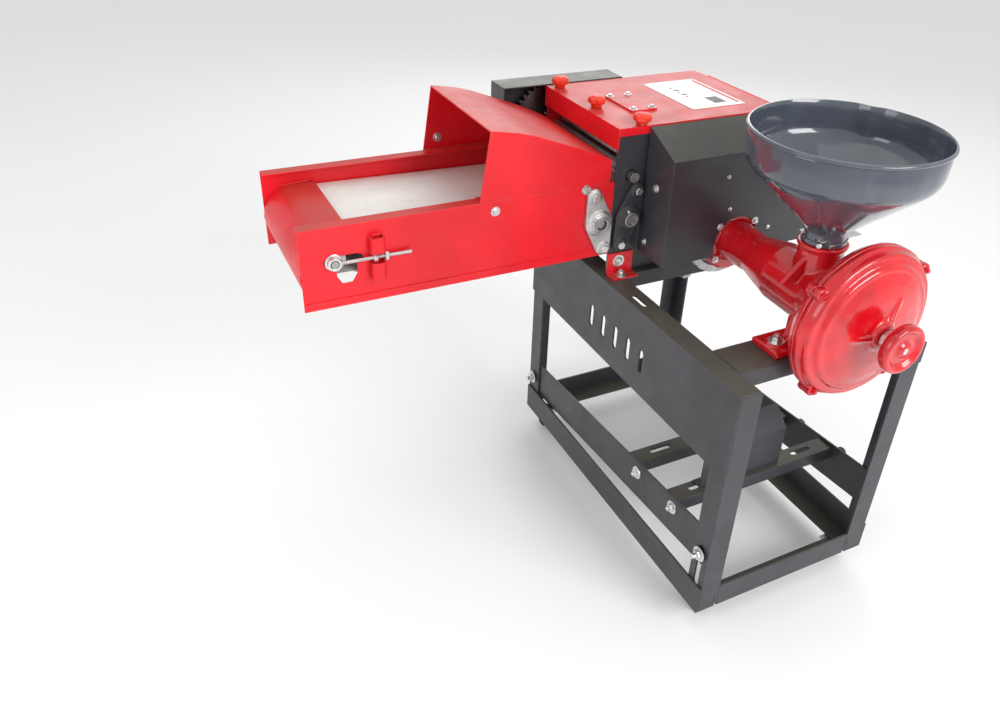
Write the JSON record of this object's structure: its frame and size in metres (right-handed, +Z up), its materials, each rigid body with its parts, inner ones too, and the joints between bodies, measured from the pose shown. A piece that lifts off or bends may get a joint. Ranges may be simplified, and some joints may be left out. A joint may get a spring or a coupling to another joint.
{
  "type": "forage cutter and grain mill",
  "caption": "Steel stand with castors carrying a conveyor-fed forage cutter with guards and a disc grain mill with a round hopper, on one shaft line, and a swinging motor base.",
  "frame": {"origin": "middle of the bounding box, at the level of the floor under the castors", "axes": "+X is the feed direction from the tray to the cutter, +Y runs along the stand from the mill to the gear train, +Z is up"},
  "size_m": [0.922, 0.794, 0.847],
  "materials": {
    "red_paint": "bright red gloss paint on folded sheet",
    "grey_paint": "dark grey gloss paint on folded sheet and angle",
    "hopper_paint": "glossy dark blue-grey paint",
    "bare_steel": "machined steel",
    "zinc_plate": "bright zinc plate",
    "bearing_alloy": "cast, satin",
    "red_casting": "red gloss paint over a rough casting",
    "black_rubber": "matte",
    "conveyor_pvc": "off-white conveyor belting",
    "orange_knob": "moulded orange-red plastic"
  },
  "bodies": {
    "stand": {"leg_near_left": "grey_paint", "leg_near_right": "grey_paint", "leg_far_left": "grey_paint", "leg_far_right": "grey_paint", "side_plate_left": "grey_paint", "top_rail_right": "grey_paint", "top_rail_far": "grey_paint", "base_rail_left": "grey_paint", "base_rail_right": "grey_paint", "base_rail_near": "grey_paint", "base_rail_far": "grey_paint", "mill_cross_member": "grey_paint", "housing_cross_member": "grey_paint", "gear_guard": "grey_paint", "belt_guard": "grey_paint", "bearing_lower_feed": "grey_paint", "housing_side_near": "grey_paint", "castor_far_left_fork": "zinc_plate", "castor_far_right_fork": "zinc_plate", "tray_wall_near": "red_paint", "tray_wall_far": "red_paint", "tray_nose": "red_paint", "hood": "red_paint", "housing_side_far": "red_paint", "housing_back": "red_paint", "conveyor_belt": "conveyor_pvc", "shear_bar": "bare_steel", "bearing_head_roller": "bearing_alloy", "mill_body": "red_casting", "mill_front_cover": "red_casting", "hopper": "hopper_paint"},
    "motor_base": {"motor_rail_left": "grey_paint", "motor_rail_right": "grey_paint", "motor_cross_rail_near": "grey_paint", "motor_cross_rail_far": "grey_paint", "motor_shield": "grey_paint"},
    "castor_near_left_swivel": {"castor_near_left_fork": "zinc_plate"},
    "castor_near_right_swivel": {"castor_near_right_fork": "zinc_plate"},
    "wheel_near_left": {"castor_near_left_wheel": "black_rubber"},
    "wheel_near_right": {"castor_near_right_wheel": "black_rubber"},
    "wheel_far_left": {"castor_far_left_wheel": "black_rubber"},
    "wheel_far_right": {"castor_far_right_wheel": "black_rubber"},
    "rotor": {"cutter_drum": "bare_steel", "shaft_pinion": "bare_steel", "drive_pulley": "bare_steel", "mill_spindle": "bare_steel"},
    "idler": {"idler_gear": "bare_steel"},
    "upper_roller": {"upper_feed_roller": "bare_steel"},
    "lower_roller": {"lower_feed_roller": "bare_steel"},
    "conveyor_head": {"head_roller": "bare_steel"},
    "belt_tensioner": {"tension_bolt_near": "zinc_plate", "tension_bolt_far": "zinc_plate"},
    "conveyor_tail": {"tail_roller": "bare_steel"},
    "cutter_cover": {"top_cover": "red_paint"},
    "knob_near": {"cover_knob_near": "orange_knob"},
    "knob_far": {"cover_knob_far": "orange_knob"},
    "plate_handwheel": {"handwheel": "red_casting"},
    "fixed_plate": {"fixed_disc": "bare_steel"},
    "screw_lock": {"lock_nut": "zinc_plate"},
    "gate": {"hopper_gate": "zinc_plate"}
  },
  "joints": [
    {"name": "motor_base_tilt", "type": "hinge", "parent": "stand", "child": "motor_base", "pos_m": [0.0776, 0.316, 0.136], "axis": [1, 0, 0], "range_deg": [-0.5, 5]},
    {"name": "castor_left_swivel", "type": "hinge", "parent": "stand", "child": "castor_near_left_swivel", "pos_m": [0.103, -0.285, 0.017], "axis": [0, 0, 1], "continuous": true},
    {"name": "castor_right_swivel", "type": "hinge", "parent": "stand", "child": "castor_near_right_swivel", "pos_m": [0.42, -0.285, 0.017], "axis": [0, 0, 1], "continuous": true},
    {"name": "wheel_near_left_roll", "type": "hinge", "parent": "castor_near_left_swivel", "child": "wheel_near_left", "pos_m": [0.112, -0.285, 0.017], "axis": [0, 1, 0], "continuous": true},
    {"name": "wheel_near_right_roll", "type": "hinge", "parent": "castor_near_right_swivel", "child": "wheel_near_right", "pos_m": [0.429, -0.285, 0.017], "axis": [0, 1, 0], "continuous": true},
    {"name": "wheel_far_left_roll", "type": "hinge", "parent": "stand", "child": "wheel_far_left", "pos_m": [0.103, 0.302, 0.017], "axis": [0, 1, 0], "continuous": true},
    {"name": "wheel_far_right_roll", "type": "hinge", "parent": "stand", "child": "wheel_far_right", "pos_m": [0.42, 0.302, 0.017], "axis": [0, 1, 0], "continuous": true},
    {"name": "rotor_spin", "type": "hinge", "parent": "stand", "child": "rotor", "pos_m": [0.295, 0.082, 0.578], "axis": [0, 1, 0], "continuous": true},
    {"name": "idler_spin", "type": "hinge", "parent": "stand", "child": "idler", "pos_m": [0.20861, 0.364, 0.65238], "axis": [0, 1, 0], "continuous": true},
    {"name": "upper_roller_spin", "type": "hinge", "parent": "stand", "child": "upper_roller", "pos_m": [0.112, 0.082, 0.696], "axis": [0, 1, 0], "continuous": true},
    {"name": "lower_roller_spin", "type": "hinge", "parent": "stand", "child": "lower_roller", "pos_m": [0.112, 0.082, 0.62], "axis": [0, 1, 0], "continuous": true},
    {"name": "conveyor_head_spin", "type": "hinge", "parent": "stand", "child": "conveyor_head", "pos_m": [0.052, 0.082, 0.62], "axis": [0, 1, 0], "continuous": true},
    {"name": "belt_tension", "type": "slide", "parent": "stand", "child": "belt_tensioner", "axis": [1, 0, 0], "range_m": [0, 0.012]},
    {"name": "conveyor_tail_spin", "type": "hinge", "parent": "belt_tensioner", "child": "conveyor_tail", "pos_m": [-0.409, 0.082, 0.63], "axis": [0, 1, 0], "continuous": true},
    {"name": "cover_hinge", "type": "hinge", "parent": "stand", "child": "cutter_cover", "pos_m": [0.429, 0.082, 0.775], "axis": [0, 1, 0], "range_deg": [0, 100]},
    {"name": "knob_near_turn", "type": "hinge", "parent": "cutter_cover", "child": "knob_near", "pos_m": [0.127, 0.088, 0.7823], "axis": [0, 0, 1], "continuous": true},
    {"name": "knob_far_turn", "type": "hinge", "parent": "cutter_cover", "child": "knob_far", "pos_m": [0.099, 0.324, 0.7823], "axis": [0, 0, 1], "continuous": true},
    {"name": "handwheel_turn", "type": "hinge", "parent": "stand", "child": "plate_handwheel", "pos_m": [0.295, -0.391, 0.578], "axis": [0, 1, 0], "range_deg": [0, 540]},
    {"name": "plate_gap", "type": "slide", "parent": "stand", "child": "fixed_plate", "axis": [0, 1, 0], "range_m": [0, 0.003]},
    {"name": "lock_nut_turn", "type": "hinge", "parent": "stand", "child": "screw_lock", "pos_m": [0.295, -0.371, 0.578], "axis": [0, 1, 0], "range_deg": [-90, 90]},
    {"name": "gate_slide", "type": "slide", "parent": "stand", "child": "gate", "axis": [1, 0, 0], "range_m": [0, 0.05]}
  ],
  "couplings": [
    {"joint": "idler_spin", "follows": "rotor_spin", "ratio": -0.35714},
    {"joint": "upper_roller_spin", "follows": "rotor_spin", "ratio": 0.10453},
    {"joint": "lower_roller_spin", "follows": "rotor_spin", "ratio": -0.10453},
    {"joint": "conveyor_head_spin", "follows": "rotor_spin", "ratio": -0.10453},
    {"joint": "conveyor_tail_spin", "follows": "rotor_spin", "ratio": -0.10453},
    {"joint": "plate_gap", "follows": "handwheel_turn", "m_per_rad": 0.00031831}
  ]
}
